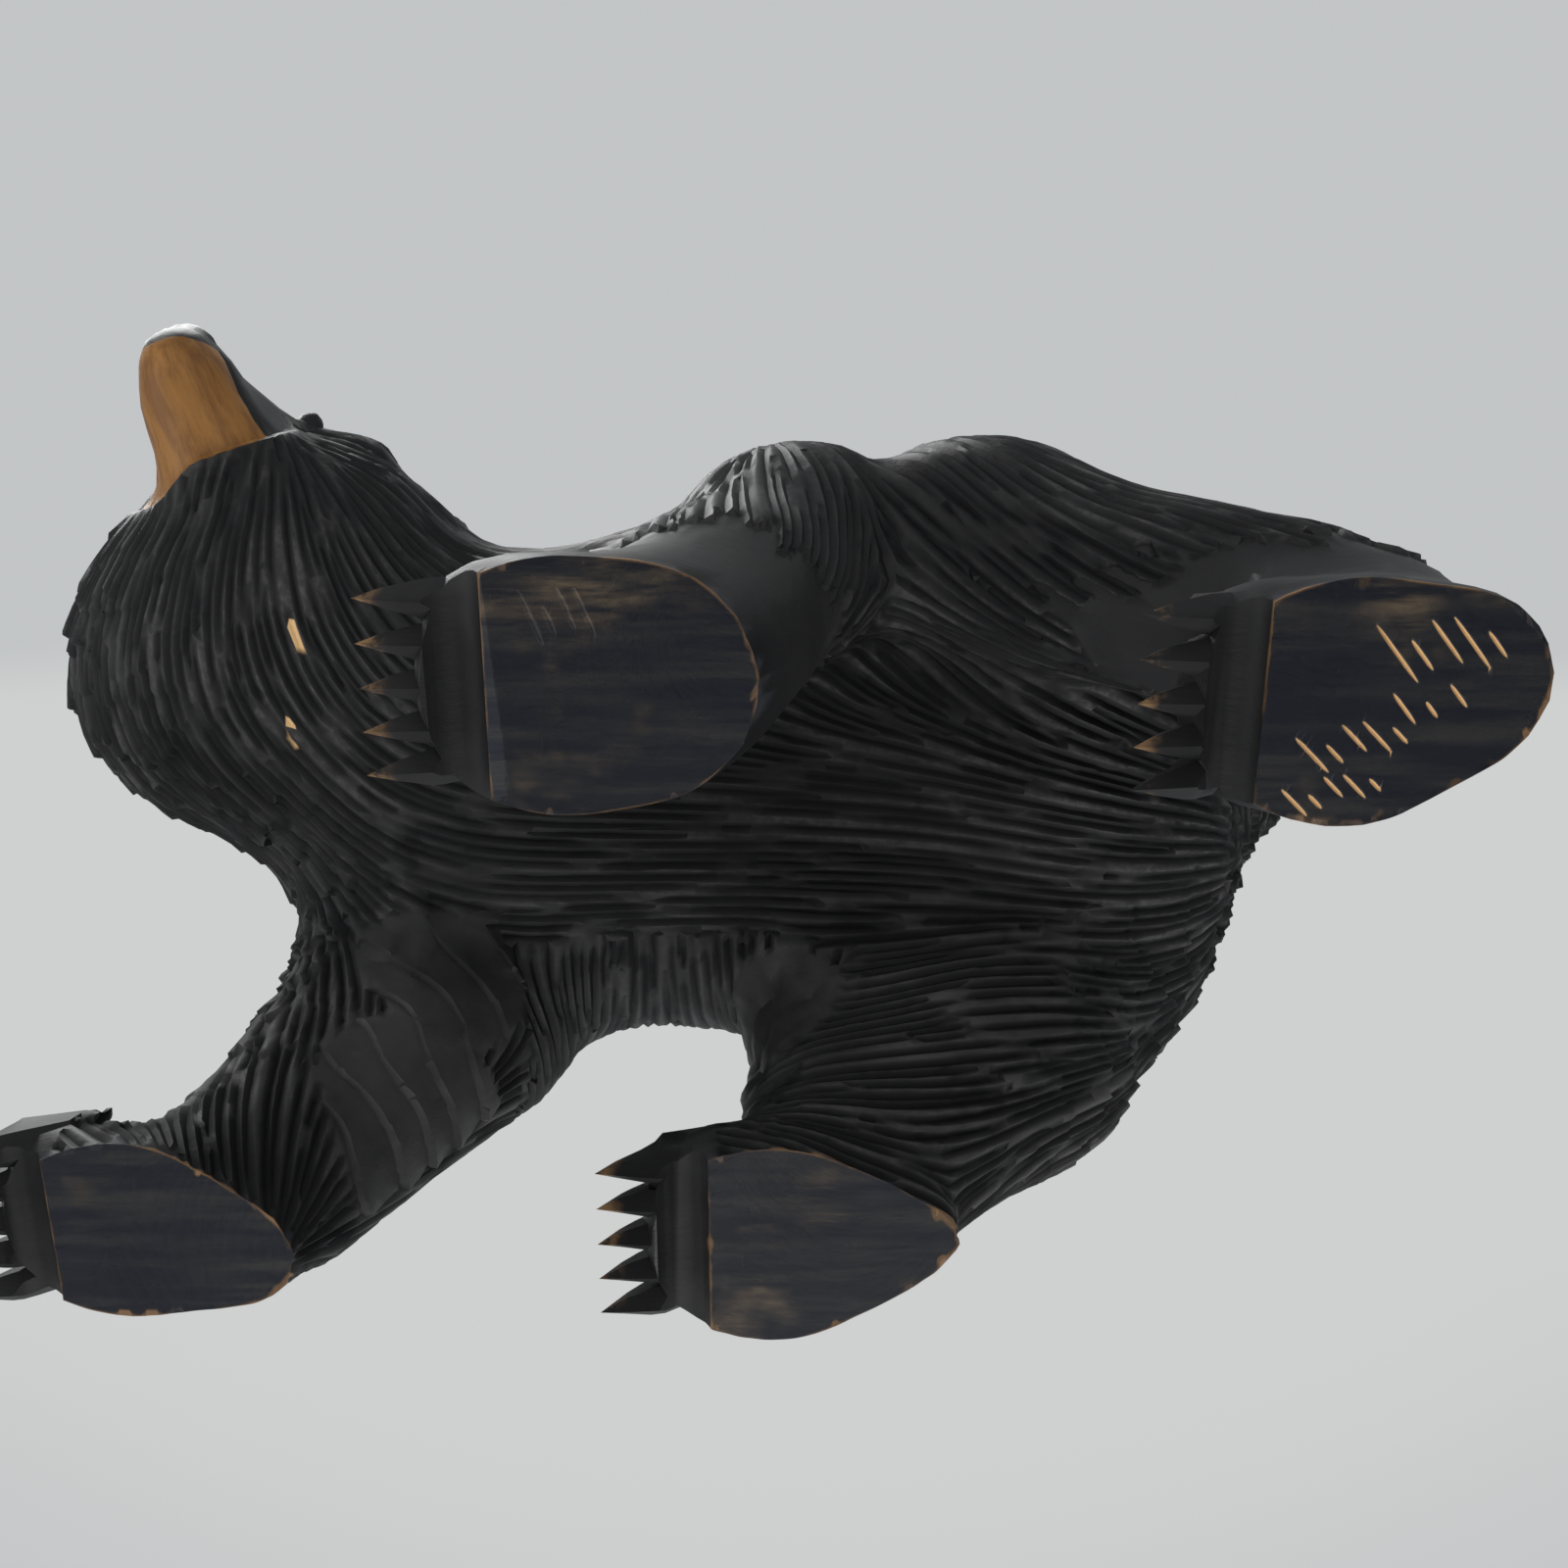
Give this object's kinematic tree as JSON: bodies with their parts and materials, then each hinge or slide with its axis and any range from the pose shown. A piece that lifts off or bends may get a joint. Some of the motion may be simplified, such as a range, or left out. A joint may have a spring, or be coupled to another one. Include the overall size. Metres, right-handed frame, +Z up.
{
  "type": "carved wooden bear",
  "caption": "Black-stained carved wooden bear, walking on flat-soled clawed paws with its head turned to its left and a bare-wood muzzle.",
  "frame": {"origin": "on the floor plane of the four soles, under the middle of the figure's bounding box", "axes": "+Z up, the bear walks towards -Y, its left side is +X"},
  "size_m": [0.2808, 0.4468, 0.2631],
  "materials": {
    "stained_wood": "black stain over carved wood, worn to bare wood at the edges"
  },
  "bodies": {
    "root": {"bear": "stained_wood"}
  },
  "joints": []
}
